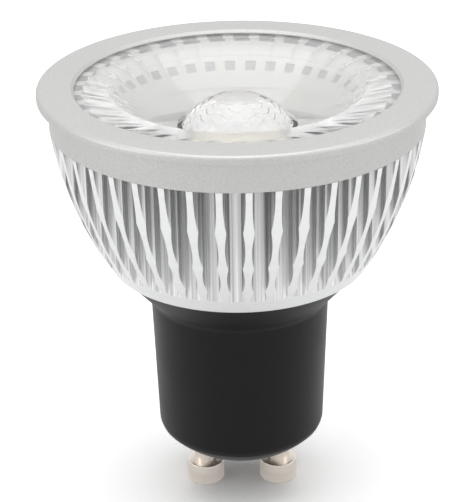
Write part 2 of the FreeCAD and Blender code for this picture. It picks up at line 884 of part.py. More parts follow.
def make_electrolytic(label, x, diameter):
    """A crimped can that lies upright against the board, with two leads bent into it."""
    radius = diameter / 2
    edge = d.can_edge
    can_bottom = base_floor_top + d.can_rise
    can_y = board_front - radius - d.fit_gap
    waist = radius - d.crimp_depth
    can = new_body(label + "_can")
    corners = [
        (0, 0),
        (radius - edge, 0),
        (radius, edge),
        (radius, d.crimp_height),
        (waist, d.crimp_height + d.crimp_depth),
        (radius, d.crimp_height + 2 * d.crimp_depth),
        (radius, d.can_length - edge),
        (radius - edge, d.can_length),
        (0, d.can_length),
    ]
    revolve(can, label + "_turned", corners)
    move(can, x, can_y, can_bottom)
    shapes = [can]
    for side, name in ((1, "right"), (-1, "left")):
        lead_x = x + side * d.can_lead_pitch / 2
        lead_z = can_bottom - d.can_lead_drop
        route = [(lead_x, can_y, can_bottom), (lead_x, can_y, lead_z), (lead_x, board_front, lead_z)]
        bends = [d.component_lead_bend]
        shapes.append(bent_wire(f"{label}_lead_{name}", route, d.component_lead_diameter, bends))
    return keep(fuse(label, shapes))


def make_film_capacitor():
    low = base_floor_top + d.film_rise
    body = new_body("film_capacitor")
    sketch = new_sketch(body, "film_outline", "XZ_Plane", -(board_back + d.film_depth))
    half = d.film_width / 2
    draw_rounded_box(sketch, -half, low, half, low + d.film_height, d.film_edge_radius)
    pad(body, "film_box", sketch, d.film_depth)
    return keep(body)


def make_chip(label, rise):
    """A moulded chip on the board's back, with two flat leads on each side."""
    middle = base_floor_top + rise
    lead_sizes = (d.chip_lead_reach, d.chip_lead_depth, d.chip_lead_width)
    shapes = [block(
        label + "_case",
        (d.chip_width, d.chip_depth - d.fit_gap, d.chip_height),
        (-d.chip_width / 2, board_back + d.fit_gap, middle - d.chip_height / 2),
    )]
    for side, x in (("right", d.chip_width / 2), ("left", -d.chip_width / 2 - d.chip_lead_reach)):
        for level, step in (("low", -1), ("high", 1)):
            z = middle + step * d.chip_lead_pitch / 2 - d.chip_lead_width / 2
            shapes.append(block(f"{label}_lead_{side}_{level}", lead_sizes, (x, board_back, z)))
    return keep(fuse(label, shapes))


def make_fuse_resistor():
    """A barrel with bevelled ends on two leads that bend into the board's front."""
    radius = d.fuse_diameter / 2
    half = d.fuse_length / 2
    end_radius = radius - d.fuse_bevel
    fuse_y = board_front - radius - d.fit_gap
    fuse_z = base_floor_top + d.fuse_rise
    barrel = new_body("fuse_barrel")
    corners = [
        (-half, 0),
        (half, 0),
        (half, end_radius),
        (half - d.fuse_bevel, radius),
        (-half + d.fuse_bevel, radius),
        (-half, end_radius),
    ]
    revolve(barrel, "fuse_turned", corners, axis="H_Axis")
    move(barrel, 0, fuse_y, fuse_z)
    shapes = [barrel]
    for side, name in ((1, "right"), (-1, "left")):
        end = side * (half + d.fuse_lead_reach)
        route = [(side * half, fuse_y, fuse_z), (end, fuse_y, fuse_z), (end, board_front, fuse_z)]
        bends = [d.component_lead_bend]
        shapes.append(bent_wire("fuse_lead_" + name, route, d.component_lead_diameter, bends))
    return keep(fuse("fuse_resistor", shapes))


def make_leads():
    """Mains leads from the rivets to the board, and LED leads up through the heat sink's floor."""
    rivet_top = base_floor_top + d.rivet_height
    mains_z = rivet_top + d.mains_lead_rise
    for label, side in (("mains_lead_left", -1), ("mains_lead_right", 1)):
        x = side * d.pin_pitch / 2
        route = [(x, 0, rivet_top), (x, 0, mains_z), (x, board_front, mains_z)]
        keep(bent_wire(label, route, d.lead_diameter, [d.lead_tight_bend]))
    start_z = base_floor_top + d.led_lead_rise
    end_z = led_board_top + d.lead_diameter / 2 + d.screw_gap
    for label, side in (("led_lead_black", -1), ("led_lead_red", 1)):
        x = side * d.lead_hole_x
        route = [
            (x, board_back, start_z),
            (x, lead_hole_y, start_z),
            (x, lead_hole_y, end_z),
            (x - side * d.led_lead_end, lead_hole_y, end_z),
        ]
        keep(bent_wire(label, route, d.lead_diameter, [d.lead_bend, d.lead_tight_bend]))


make_contact_pin("contact_pin_left", -d.pin_pitch / 2)
make_contact_pin("contact_pin_right", d.pin_pitch / 2)
make_base_housing()
make_heat_sink()
make_front_ring()
make_lens()
make_drilled_disc("thermal_pad", sink_floor_top, d.pad_thickness)
make_drilled_disc("led_board", led_board_bottom, d.led_board_thickness)
make_light_source()
make_led_screws()
make_base_screws()
make_driver_board()
make_transformer()
make_electrolytic("input_capacitor", -d.can_offset, d.input_can_diameter)
make_electrolytic("output_capacitor", d.can_offset, d.output_can_diameter)
make_film_capacitor()
make_chip("bridge_rectifier", d.bridge_rise)
make_chip("driver_chip", d.driver_chip_rise)
make_fuse_resistor()
make_leads()
doc.recompute()

# Every object has to be sound before anything is written
for item in doc.Objects:
    if "Invalid" in item.State or "Error" in item.State:
        raise RuntimeError(f"{item.Label} failed: {item.State}")
for node in nodes:
    if node.Shape.isNull() or not node.Shape.isValid():
        raise RuntimeError(f"{node.Label} has no valid shape")

os.makedirs("parts", exist_ok=True)
for node in nodes:
    node.Shape.exportStep(f"parts/{node.Label}.step")
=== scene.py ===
# Spotlight bulb: the looks of the front ring, lens, lens holder, finned heat sink, base and contact pins.
# Metres in the shared frame: +Z up, origin on the bulb's axis under the pins' feet, pins along X.

import math

import bmesh
import bpy
from mathutils import Matrix, Quaternion, Vector


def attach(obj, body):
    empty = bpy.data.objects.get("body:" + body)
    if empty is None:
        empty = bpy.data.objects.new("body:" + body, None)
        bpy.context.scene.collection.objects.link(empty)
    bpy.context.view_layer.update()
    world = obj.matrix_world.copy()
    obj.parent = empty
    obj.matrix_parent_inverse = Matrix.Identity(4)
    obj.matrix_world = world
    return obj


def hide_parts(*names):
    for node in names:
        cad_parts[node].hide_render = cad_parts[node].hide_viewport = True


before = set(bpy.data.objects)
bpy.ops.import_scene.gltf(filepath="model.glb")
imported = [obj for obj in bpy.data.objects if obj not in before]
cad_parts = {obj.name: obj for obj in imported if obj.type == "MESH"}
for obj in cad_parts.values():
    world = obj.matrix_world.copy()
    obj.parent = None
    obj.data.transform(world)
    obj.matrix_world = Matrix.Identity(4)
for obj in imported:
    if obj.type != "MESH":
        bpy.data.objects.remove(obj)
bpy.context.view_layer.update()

MM = 0.001
AXIS = Vector((0.0, 0.0, 1.0))
CENTRE = Vector((0.0, 0.0, 0.0))
SHARP_ANGLE = math.radians(28)

# Distances that count as none: two are in metres, the slack in millimetres
SAME_PLACE = 1e-7
NEAR = 1e-3 * MM
SLACK = 0.01

# Heights, in millimetres above the pins' feet
FOOT_TOP = 2.8
BASE_BOTTOM = 7.3
BASE_FLOOR_TOP = 9.3
TIP_TOP = 9.8
NECK_TOP = 28.5
SINK_BOTTOM = 33.85
DRIVER_WELL_TOP = 40.0
SINK_FLOOR_TOP = 44.5
LED_BOARD_TOP = 46.35
LENS_CONE_BOTTOM = 47.85
LED_WELL_TOP = 47.9
FUNNEL_FLOOR = 52.0
SINK_SHOULDER = 52.6
SPIGOT_TOP = 54.2
LENS_CONE_TOP = 56.0
FLANGE_BOTTOM = 56.5
LENS_TOP = 57.05
LIP_BOTTOM = 57.1
RING_TOP = 57.6

# Radii, in millimetres
RING_RADIUS = 25.0
BAND_RADIUS = 23.6
SPIGOT_RADIUS = 21.9
LENS_RADIUS = 20.9
LIP_RADIUS = 20.35
LENS_CONE_RADIUS = 19.4
CORE_RADIUS = 18.0
LENS_WELL_RADIUS = 17.3
SINK_BOTTOM_RADIUS = 16.75
FLARE_RADIUS = 16.4
FUNNEL_RADIUS = 16.0
DRIVER_WELL_RADIUS = 14.5
LED_WELL_RADIUS = 12.83
LENS_FOOT_RADIUS = 8.4
DOME_RADIUS = 7.0

# Gap between pieces that fit into each other, and the pins' distance from the axis
FIT_GAP = 0.1
PIN_OFFSET = 5.0

# Steps round the axis
RING_STEPS = 288
LENS_STEPS = 720
HOLDER_STEPS = 360
BASE_STEPS = 192
PIN_STEPS = 96

# The arc that the heat sink's outside is turned to, and the rows of its rim below the fins
BOWL_ARC_RADIUS = 46.1
RIM_ROWS = (17.75, 17.5, 17.25, 17.0, 16.87, SINK_BOTTOM_RADIUS)

# Fins
FIN_COUNT = 43
FIN_HALF = 0.685
SCALLOP_PITCH = 1.8
SCALLOP_DEPTH = 0.29
SCALLOP_COUNT = 3
SCALLOP_STEPS = 12


# Drawing and turning

def place(radius, height):
    return Vector((radius * MM, 0.0, height * MM))


def radius_of(vert):
    return math.hypot(vert.co.x, vert.co.y)


def line_to(bm, vert, radius, height):
    end = bm.verts.new(place(radius, height))
    bm.edges.new((vert, end))
    return end


def draw(bm, corners, closed=False):
    """A chain of straight edges through (radius, height) corners; gives its last vertex."""
    first = bm.verts.new(place(*corners[0]))
    last = first
    for corner in corners[1:]:
        last = line_to(bm, last, *corner)
    if closed:
        bm.edges.new((last, first))
    return last


def arc_on(bm, vert, centre, degrees, steps, axis=(0, 1, 0)):
    """Carries a chain on by an arc round the centre; gives its last vertex."""
    made = bmesh.ops.spin(bm, geom=[vert], cent=centre, axis=axis, angle=math.radians(degrees),
                          steps=steps)
    return next(item for item in made["geom_last"] if isinstance(item, bmesh.types.BMVert))


def arc_centre(start, end, radius):
    """Centre of the arc that runs counter-clockwise from start to end, as (radius, height)."""
    chord = Vector(end) - Vector(start)
    inward = Vector((-chord.y, chord.x)).normalized()
    return Vector(start) + chord / 2 + inward * math.sqrt(radius ** 2 - (chord.length / 2) ** 2)


def turn(bm, steps):
    """Spins everything drawn so far once round the axis and closes seams and poles."""
    drawn = bm.verts[:] + bm.edges[:]
    bmesh.ops.spin(bm, geom=drawn, cent=CENTRE, axis=AXIS, angle=math.tau, steps=steps,
                   use_merge=True)
    bmesh.ops.remove_doubles(bm, verts=bm.verts, dist=SAME_PLACE)
    bmesh.ops.recalc_face_normals(bm, faces=bm.faces)


def soften(bm, radius, height, width, segments=4):
    """Rounds the circular edge at this radius and height."""
    def on_edge(vert):
        return abs(radius_of(vert) - radius * MM) < NEAR and abs(vert.co.z - height * MM) < NEAR

    edges = [edge for edge in bm.edges if all(on_edge(vert) for vert in edge.verts)]
    bmesh.ops.bevel(bm, geom=edges, offset=width * MM, offset_type="OFFSET", segments=segments,
                    profile=0.5, affect="EDGES", material=-1)


def finish_piece(name, bm, materials, node):
    """Closes a mesh, sets its smooth and sharp edges, and puts it in place of its CAD node, if any."""
    bmesh.ops.remove_doubles(bm, verts=bm.verts, dist=SAME_PLACE)
    bmesh.ops.recalc_face_normals(bm, faces=bm.faces)
    for face in bm.faces:
        face.smooth = True
    for edge in bm.edges:
        if len(edge.link_faces) == 2 and edge.calc_face_angle() > SHARP_ANGLE:
            edge.smooth = False
    mesh = bpy.data.meshes.new(name)
    bm.to_mesh(mesh)
    bm.free()
    for material in materials:
        mesh.materials.append(material)
    piece = bpy.data.objects.new(name, mesh)
    bpy.context.scene.collection.objects.link(piece)
    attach(piece, "root")
    if node:
        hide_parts(node)


# Shared effects

# Noise scales are per metre, and detail is the number of finer layers
CLOUD_SCALE = 90.0
CLOUD_DETAIL = 3.0
FINE_DETAIL = 2.0
BROAD_SHARE = 0.22

# Noise lies mostly between these two values
MASK_LOW = 0.3
MASK_HIGH = 0.7


def new_group(name, inputs, outputs):
    group = bpy.data.node_groups.new(name, "ShaderNodeTree")
    for socket, value in inputs:
        made = group.interface.new_socket(socket, in_out="INPUT", socket_type="NodeSocketFloat")
        made.default_value = value
    for socket in outputs:
        group.interface.new_socket(socket, in_out="OUTPUT", socket_type="NodeSocketFloat")
    entry = group.nodes.new("NodeGroupInput")
    leave = group.nodes.new("NodeGroupOutput")
    return group, entry, leave


def maths(tree, operation, first, second):
    node = tree.nodes.new("ShaderNodeMath")
    node.operation = operation
    for socket, value in zip(node.inputs, (first, second)):
        if isinstance(value, (int, float)):
            socket.default_value = value
        else:
            tree.links.new(value, socket)
    return node.outputs["Value"]


def noise(tree, vector, scale, detail):
    node = tree.nodes.new("ShaderNodeTexNoise")
    node.inputs["Detail"].default_value = detail
    tree.links.new(vector, node.inputs["Vector"])
    if isinstance(scale, (int, float)):
        node.inputs["Scale"].default_value = scale
    else:
        tree.links.new(scale, node.inputs["Scale"])
    return node.outputs["Fac"]


def stretched(tree, vector, scale):
    node = tree.nodes.new("ShaderNodeVectorMath")
    node.operation = "MULTIPLY"
    node.inputs[1].default_value = scale
    tree.links.new(vector, node.inputs[0])
    return node.outputs["Vector"]


def make_grain_group():
    """Fine grain and slow cloudiness, as on blasted metal and moulded plastic."""
    group, entry, leave = new_group("grain", [("Grain Scale", 6000.0)], ["Grain", "Cloud"])
    where = group.nodes.new("ShaderNodeTexCoord").outputs["Object"]
    grain = noise(group, where, entry.outputs["Grain Scale"], FINE_DETAIL)
    cloud = noise(group, where, CLOUD_SCALE, CLOUD_DETAIL)
    group.links.new(grain, leave.inputs["Grain"])
    group.links.new(cloud, leave.inputs["Cloud"])
    return group


def make_lines_group(name, squeeze):
    """Fine lines: squeeze says which way the pattern is drawn out."""
    group, entry, leave = new_group(name, [("Line Scale", 4000.0)], ["Lines", "Broad Lines"])
    where = group.nodes.new("ShaderNodeTexCoord").outputs["Object"]
    drawn_out = stretched(group, where, squeeze)
    line_scale = entry.outputs["Line Scale"]
    fine = noise(group, drawn_out, line_scale, FINE_DETAIL)
    broad = noise(group, drawn_out, maths(group, "MULTIPLY", line_scale, BROAD_SHARE), FINE_DETAIL)
    group.links.new(fine, leave.inputs["Lines"])
    group.links.new(broad, leave.inputs["Broad Lines"])
    return group


grain_group = make_grain_group()
turning_group = make_lines_group("turning_lines", (0.0, 0.0, 1.0))
drawing_group = make_lines_group("drawing_lines", (1.0, 1.0, 0.004))


# Materials

def new_material(name, metallic=0.0, roughness=0.5):
    material = bpy.data.materials.new(name)
    material.use_nodes = True
    shader = material.node_tree.nodes["Principled BSDF"]
    shader.inputs["Metallic"].default_value = metallic
    shader.inputs["Roughness"].default_value = roughness
    return material, material.node_tree, shader


def place_group(tree, group, **values):
    node = tree.nodes.new("ShaderNodeGroup")
    node.node_tree = group
    for socket, value in values.items():
        node.inputs[socket.replace("_", " ")].default_value = value
    return node


def spread(tree, mask, low, high):
    """Turns a mask into values between low and high."""
    node = tree.nodes.new("ShaderNodeMapRange")
    node.inputs["From Min"].default_value = MASK_LOW
    node.inputs["From Max"].default_value = MASK_HIGH
    node.inputs["To Min"].default_value = low
    node.inputs["To Max"].default_value = high
    tree.links.new(mask, node.inputs["Value"])
    return node.outputs["Result"]


def tint(tree, mask, dark, light):
    """Turns a mask into colours between dark and light."""
    ramp = tree.nodes.new("ShaderNodeValToRGB")
    low, high = ramp.color_ramp.elements
    low.position = MASK_LOW
    low.color = (*dark, 1.0)
    high.position = MASK_HIGH
    high.color = (*light, 1.0)
    tree.links.new(mask, ramp.inputs["Fac"])
    return ramp.outputs["Color"]


def raise_bump(tree, shader, height, strength, distance):
    bump = tree.nodes.new("ShaderNodeBump")
    bump.inputs["Strength"].default_value = strength
    bump.inputs["Distance"].default_value = distance * MM
    tree.links.new(height, bump.inputs["Height"])
    tree.links.new(bump.outputs["Normal"], shader.inputs["Normal"])


def grained(name, dark, light, rough, metallic=0.0, grain_scale=4000.0, bump=0.05, depth=0.02):
    """A finish whose colour and roughness follow fine grain: rough is its smoothest and roughest."""
    material, tree, shader = new_material(name, metallic)
    grain = place_group(tree, grain_group, Grain_Scale=grain_scale)
    tree.links.new(tint(tree, grain.outputs["Grain"], dark, light), shader.inputs["Base Color"])
    tree.links.new(spread(tree, grain.outputs["Cloud"], *rough), shader.inputs["Roughness"])
    raise_bump(tree, shader, grain.outputs["Grain"], bump, depth)
    return material, shader


def lined(name, group, dark, light, rough, line_scale, bump, depth, tint_from="Broad Lines"):
    """A metal with fine lines left by the lathe or the drawing die."""
    material, tree, shader = new_material(name, 1.0)
    lines = place_group(tree, group, Line_Scale=line_scale)
    tree.links.new(tint(tree, lines.outputs[tint_from], dark, light), shader.inputs["Base Color"])
    tree.links.new(spread(tree, lines.outputs["Lines"], *rough), shader.inputs["Roughness"])
    raise_bump(tree, shader, lines.outputs["Lines"], bump, depth)
    return material


def make_clear_plastic(name, smoothest, roughest):
    """Clear moulded plastic between two roughnesses."""
    material, tree, shader = new_material(name)
    shader.inputs["Base Color"].default_value = (0.90, 0.90, 0.895, 1.0)
    shader.inputs["Transmission Weight"].default_value = 1.0
    shader.inputs["IOR"].default_value = 1.49
    grain = place_group(tree, grain_group, Grain_Scale=900.0)
    tree.links.new(spread(tree, grain.outputs["Cloud"], smoothest, roughest), shader.inputs["Roughness"])
    return material


blasted_aluminium, _ = grained("blasted_aluminium", (0.53, 0.53, 0.525), (0.65, 0.645, 0.635),
                               rough=(0.44, 0.52), metallic=1.0, grain_scale=7000.0, bump=0.30, depth=0.03)
black_plastic, black_shader = grained("black_plastic", (0.0048, 0.0048, 0.0052), (0.0072, 0.0072, 0.0078),
                                      rough=(0.36, 0.44), grain_scale=5000.0, bump=0.08, depth=0.02)
black_shader.inputs["Specular IOR Level"].default_value = 0.2
turned_edge = lined("turned_edge", turning_group, (0.85, 0.86, 0.855), (0.90, 0.91, 0.905),
                    rough=(0.30, 0.36), line_scale=5200.0, bump=0.03, depth=0.01)
drawn_flank = lined("drawn_flank", drawing_group, (0.50, 0.505, 0.50), (0.95, 0.955, 0.95),
                    rough=(0.26, 0.42), line_scale=4200.0, bump=0.40, depth=0.02, tint_from="Lines")
pin_metal = lined("pin_metal", turning_group, (0.79, 0.72, 0.65), (0.85, 0.79, 0.725),
                  rough=(0.26, 0.32), line_scale=5200.0, bump=0.02, depth=0.01)
well_white, _ = grained("well_white", (0.955, 0.955, 0.94), (0.985, 0.985, 0.97), rough=(0.50, 0.60))
# Painted shade: the windows' two greys stand in for the shade inside them
window_painted_shade, _ = grained("window_painted_shade", (0.53, 0.53, 0.54), (0.61, 0.61, 0.62), rough=(0.50, 0.62))
window_pale_painted_shade, _ = grained("window_pale_painted_shade", (0.71, 0.72, 0.73), (0.77, 0.78, 0.79), rough=(0.50, 0.62))
clear_plastic = make_clear_plastic("clear_plastic", smoothest=0.02, roughest=0.06)
satin_plastic = make_clear_plastic("satin_plastic", smoothest=0.16, roughest=0.22)


# The turned front ring

def make_front_ring():
    rim_round = 0.5
    flange_edge_round = 0.1
    band_edge_round = 0.06
    lip_chamfer = 0.35
    bore = LENS_RADIUS + FIT_GAP
    spigot_bore = SPIGOT_RADIUS + FIT_GAP
    bm = bmesh.new()
    draw(bm, [
        (LIP_RADIUS, LIP_BOTTOM),
        (bore, LIP_BOTTOM),
        (bore, SPIGOT_TOP),
        (spigot_bore, SPIGOT_TOP),
        (spigot_bore, SINK_SHOULDER),
        (BAND_RADIUS, SINK_SHOULDER),
        (BAND_RADIUS, FLANGE_BOTTOM),
        (RING_RADIUS, FLANGE_BOTTOM),
        (RING_RADIUS, RING_TOP),
        (LIP_RADIUS, RING_TOP),
    ], closed=True)
    turn(bm, RING_STEPS)
    soften(bm, RING_RADIUS, RING_TOP, rim_round, segments=8)
    soften(bm, RING_RADIUS, FLANGE_BOTTOM, flange_edge_round)
    soften(bm, BAND_RADIUS, SINK_SHOULDER, band_edge_round)
    soften(bm, LIP_RADIUS, RING_TOP, lip_chamfer, segments=1)

    # The bore is white
    for face in bm.faces:
        centre = face.calc_center_median()
        below_lip = centre.z < (LIP_BOTTOM + SLACK) * MM
        if below_lip and centre.xy.length < (spigot_bore + SLACK) * MM:
            face.material_index = 1
    finish_piece("front_ring_turned", bm, [blasted_aluminium, well_white], "front_ring")


# The moulded base and the contact pins

def make_base():
    tip_radius = 8.2
    tip_arc_radius = 12.0
    tip_steps = 10
    neck_low_radius = 11.025
    neck_top_radius = 11.65
    collar_wall = 1.4
    collar_radius = DRIVER_WELL_RADIUS - FIT_GAP
    collar_top = DRIVER_WELL_TOP - FIT_GAP
    chamber_radius = collar_radius - collar_wall
    bore_radius = 9.6
    bottom_round = 0.35
    tip_round = 0.6
    neck_round = 0.5
    flare_round = 0.15

    # The rounded tip
    bm = bmesh.new()
    last = draw(bm, [(0.0, BASE_BOTTOM), (tip_radius, BASE_BOTTOM)])
    centre = arc_centre((tip_radius, BASE_BOTTOM), (neck_low_radius, TIP_TOP), tip_arc_radius)
    half_chord = math.hypot(neck_low_radius - tip_radius, TIP_TOP - BASE_BOTTOM) / 2
    sweep = 2 * math.degrees(math.asin(half_chord / tip_arc_radius))
    last = arc_on(bm, last, place(*centre), -sweep, tip_steps)

    # Up the neck and the flare to the collar, and back down inside
    for corner in (
        (neck_top_radius, NECK_TOP),
        (FLARE_RADIUS, SINK_BOTTOM),
        (collar_radius, SINK_BOTTOM),
        (collar_radius, collar_top),
        (chamber_radius, collar_top),
        (chamber_radius, SINK_BOTTOM),
        (bore_radius, NECK_TOP),
        (bore_radius, BASE_FLOOR_TOP),
        (0.0, BASE_FLOOR_TOP),
    ):
        last = line_to(bm, last, *corner)
    turn(bm, BASE_STEPS)
    soften(bm, tip_radius, BASE_BOTTOM, bottom_round)
    soften(bm, neck_low_radius, TIP_TOP, tip_round, segments=6)
    soften(bm, neck_top_radius, NECK_TOP, neck_round, segments=5)
    soften(bm, FLARE_RADIUS, SINK_BOTTOM, flare_round)
    finish_piece("base_moulded", bm, [black_plastic], "base_housing")


def make_pin(side, node):
    foot_radius = 2.5
    stem_radius = 1.5
    shank_radius = 1.2
    rivet_radius = 1.9
    rivet_top = 10.0
    sole_round = 0.15
    foot_top_round = 0.1
    bm = bmesh.new()
    draw(bm, [
        (0.0, 0.0),
        (foot_radius, 0.0),
        (foot_radius, FOOT_TOP),
        (stem_radius, FOOT_TOP),
        (stem_radius, BASE_BOTTOM),
        (shank_radius, BASE_BOTTOM),
        (shank_radius, BASE_FLOOR_TOP),
        (rivet_radius, BASE_FLOOR_TOP),
        (shank_radius, rivet_top),
        (0.0, rivet_top),
    ])
    turn(bm, PIN_STEPS)
    soften(bm, foot_radius, 0.0, sole_round)
    soften(bm, foot_radius, FOOT_TOP, foot_top_round)
    bmesh.ops.translate(bm, verts=bm.verts, vec=(side * PIN_OFFSET * MM, 0.0, 0.0))
    finish_piece(node + "_turned", bm, [pin_metal], node)


# The finned heat sink

BOWL_CENTRE = arc_centre((SINK_BOTTOM_RADIUS, SINK_BOTTOM), (BAND_RADIUS, SINK_SHOULDER),
                         BOWL_ARC_RADIUS)


def bowl_height(radius):
    """Height at which the turned outside has this radius."""
    return BOWL_CENTRE.y - math.sqrt(BOWL_ARC_RADIUS ** 2 - (radius - BOWL_CENTRE.x) ** 2)


def bowl_radius(height):
    """Radius of the turned outside at this height."""
    return BOWL_CENTRE.x + math.sqrt(BOWL_ARC_RADIUS ** 2 - (height - BOWL_CENTRE.y) ** 2)


def set_radius(vert, radius):
    ratio = radius * MM / radius_of(vert)
    vert.co.x *= ratio
    vert.co.y *= ratio


def only_verts(items):
    return [item for item in items if isinstance(item, bmesh.types.BMVert)]


def only_edges(items):
    return [item for item in items if isinstance(item, bmesh.types.BMEdge)]


def raise_walls(bm, edges, height):
    """Raises upright walls from edges; gives the new upper edges."""
    made = bmesh.ops.extrude_edge_only(bm, edges=edges)["geom"]
    for vert in only_verts(made):
        vert.co.z = height * MM
    return only_edges(made)


def carry_ring(bm, edges, radius, height):
    """Carries a closed ring of edges on to another radius and height; gives the new ring."""
    made = bmesh.ops.extrude_edge_only(bm, edges=edges)["geom"]
    for vert in only_verts(made):
        set_radius(vert, radius)
        vert.co.z = height * MM
    return only_edges(made)


def draw_flank(bm):
    """Plan of one flank of a fin along +X, from root to tip: scallops that meet in ridges."""
    scallop_radius = ((SCALLOP_PITCH / 2) ** 2 + SCALLOP_DEPTH ** 2) / (2 * SCALLOP_DEPTH)
    half_sweep = math.degrees(math.asin(SCALLOP_PITCH / 2 / scallop_radius))
    neck = FIN_HALF - SCALLOP_DEPTH
    centre_y = -(neck + scallop_radius) * MM
    last = bm.verts.new((CORE_RADIUS * MM, -neck * MM, 0.0))
    last = arc_on(bm, last, (CORE_RADIUS * MM, centre_y, 0.0), -half_sweep, SCALLOP_STEPS // 2, AXIS)
    for number in range(1, SCALLOP_COUNT + 1):
        middle = (CORE_RADIUS + SCALLOP_PITCH * number) * MM
        last = arc_on(bm, last, (middle, centre_y, 0.0), -2 * half_sweep, SCALLOP_STEPS, AXIS)
    for reach in (SPIGOT_RADIUS, BAND_RADIUS):
        across = math.sqrt(reach ** 2 - neck ** 2) * MM
        everything = bm.verts[:] + bm.edges[:]
        bmesh.ops.bisect_plane(bm, geom=everything, plane_co=(across, 0.0, 0.0), plane_no=(1.0, 0.0, 0.0),
                               clear_outer=(reach == BAND_RADIUS))


def make_fin(bm):
    """One fin along +X: two flanks, the turned edge between them and its tops."""
    edge_cuts = 2
    draw_flank(bm)
    low = bm.edges[:]
    upper = raise_walls(bm, low, SINK_SHOULDER)
    for vert in set(vert for edge in low for vert in edge.verts):
        vert.co.z = bowl_height(min(radius_of(vert) / MM, BAND_RADIUS)) * MM
    spigot_reach = math.sqrt(SPIGOT_RADIUS ** 2 - FIN_HALF ** 2) * MM
    inner_end = spigot_reach + SLACK * MM
    inner = [edge for edge in upper if max(vert.co.x for vert in edge.verts) < inner_end]
    outer = [edge for edge in upper if edge not in inner]
    top = raise_walls(bm, inner, SPIGOT_TOP)
    copied = bmesh.ops.duplicate(bm, geom=bm.verts[:] + bm.edges[:] + bm.faces[:])
    image = copied["edge_map"]
    bmesh.ops.scale(bm, verts=only_verts(copied["geom"]), vec=(1.0, -1.0, 1.0))
    bmesh.ops.bridge_loops(bm, edges=top + [image[edge] for edge in top])
    bmesh.ops.bridge_loops(bm, edges=outer + [image[edge] for edge in outer])
    strip = bmesh.ops.bridge_loops(bm, edges=low + [image[edge] for edge in low])
    for face in strip["faces"]:
        face.material_index = 1
    across = [
        edge for edge in strip["edges"]
        if abs(edge.verts[0].co.y + edge.verts[1].co.y) < SAME_PLACE
    ]
    cut = bmesh.ops.subdivide_edges(bm, edges=across, cuts=edge_cuts, use_grid_fill=True)
    for vert in only_verts(cut["geom_inner"]):
        set_radius(vert, bowl_radius(vert.co.z / MM))


def make_gap_floor(bm):
    """The flat floor of the gap between two fins, from the bowl up through the spigot."""
    floor_steps = 4
    neck = (FIN_HALF - SCALLOP_DEPTH) * MM
    root = Vector((CORE_RADIUS * MM, -neck, 0.0))
    next_fin = Matrix.Rotation(-math.tau / FIN_COUNT, 3, "Z")
    far_root = next_fin @ Vector((CORE_RADIUS * MM, neck, 0.0))
    points = [far_root.lerp(root, step / floor_steps) for step in range(floor_steps + 1)]
    corners = [bm.verts.new(point) for point in points]
    low = [bm.edges.new(pair) for pair in zip(corners, corners[1:])]
    shoulder = raise_walls(bm, low, SINK_SHOULDER)
    for vert in set(vert for edge in low for vert in edge.verts):
        vert.co.z = bowl_height(radius_of(vert) / MM) * MM
    raise_walls(bm, shoulder, SPIGOT_TOP)


def make_heat_sink():
    pitch = math.tau / FIN_COUNT
    bm = bmesh.new()
    make_fin(bm)
    make_gap_floor(bm)
    half_pitch = Matrix.Rotation(pitch / 2, 3, "Z")
    bmesh.ops.rotate(bm, verts=bm.verts, cent=CENTRE, matrix=half_pitch)
    sector = bm.verts[:] + bm.edges[:] + bm.faces[:]
    bmesh.ops.spin(bm, geom=sector, cent=CENTRE, axis=AXIS, angle=math.tau - pitch,
                   steps=FIN_COUNT - 1, use_duplicate=True)
    bmesh.ops.remove_doubles(bm, verts=bm.verts, dist=NEAR)

    # Turned rim below the fins, then the well for the driver
    open_edges = [edge for edge in bm.edges if len(edge.link_faces) == 1]
    bottom = [edge for edge in open_edges if edge.verts[0].co.z < SINK_SHOULDER * MM]
    top = [edge for edge in open_edges if edge.verts[0].co.z > SINK_SHOULDER * MM]
    fins = set(bm.faces)
    for radius in RIM_ROWS:
        bottom = carry_ring(bm, bottom, radius, bowl_height(radius))
    for radius, height in (
        (DRIVER_WELL_RADIUS, SINK_BOTTOM),
        (DRIVER_WELL_RADIUS, DRIVER_WELL_TOP),
    ):
        bottom = carry_ring(bm, bottom, radius, height)
    bmesh.ops.contextual_create(bm, geom=bottom)
    for face in set(bm.faces) - fins:
        face.material_index = 1

    # White well for the lens and the light source
    outside = set(bm.faces)
    for radius, height in (
        (LENS_WELL_RADIUS, SPIGOT_TOP),
        (LED_WELL_RADIUS, LED_WELL_TOP),
        (LED_WELL_RADIUS, SINK_FLOOR_TOP),
    ):
        top = carry_ring(bm, top, radius, height)
    bmesh.ops.contextual_create(bm, geom=top)
    for face in bm.faces:
        if face not in outside or face.calc_center_median().z > SINK_SHOULDER * MM:
            face.material_index = 2
    finish_piece("heat_sink_turned", bm, [drawn_flank, turned_edge, well_white], "heat_sink")


# The clear lens

FLUTE_COUNT = 36
FLUTE_RADIUS = 3.6
FLUTE_TOP_DEPTH = 0.35
FLUTE_RUN_OUT = 0.5
DOME_TOP = 55.95
DOME_ROWS = 72
CONE_ROWS = 16

# The white holder under the lens, with a ring of windows on its cone and one on its skirt, their grey
# being
# painted shade: heights and radii in millimetres, the pitch and the turns in degrees
HOLDER_TOP = 55.85
HOLDER_RADIUS = 19.5
WINDOW_PITCH = 10.0
CONE_WINDOWS = (55.36, 55.84)
CONE_WINDOW_TURN = (4.5, 10.5)
SKIRT_WINDOWS = (52.45, 53.55)
SKIRT_WINDOW_TURN = (0.0, 5.0)
SKIRT_END = 50.4

# Lenslets on the dome lie like scales: arc distance of each row from the top, and number round
LENSLET_ROWS = ((2.5, 8), (3.55, 11), (4.6, 14), (5.65, 18), (6.7, 21), (7.75, 23))
LENSLET_RADIUS = 1.5
LENSLET_ROUND = 8.5
MIDDLE_RADIUS = 2.75
MIDDLE_ROUND = 45.0


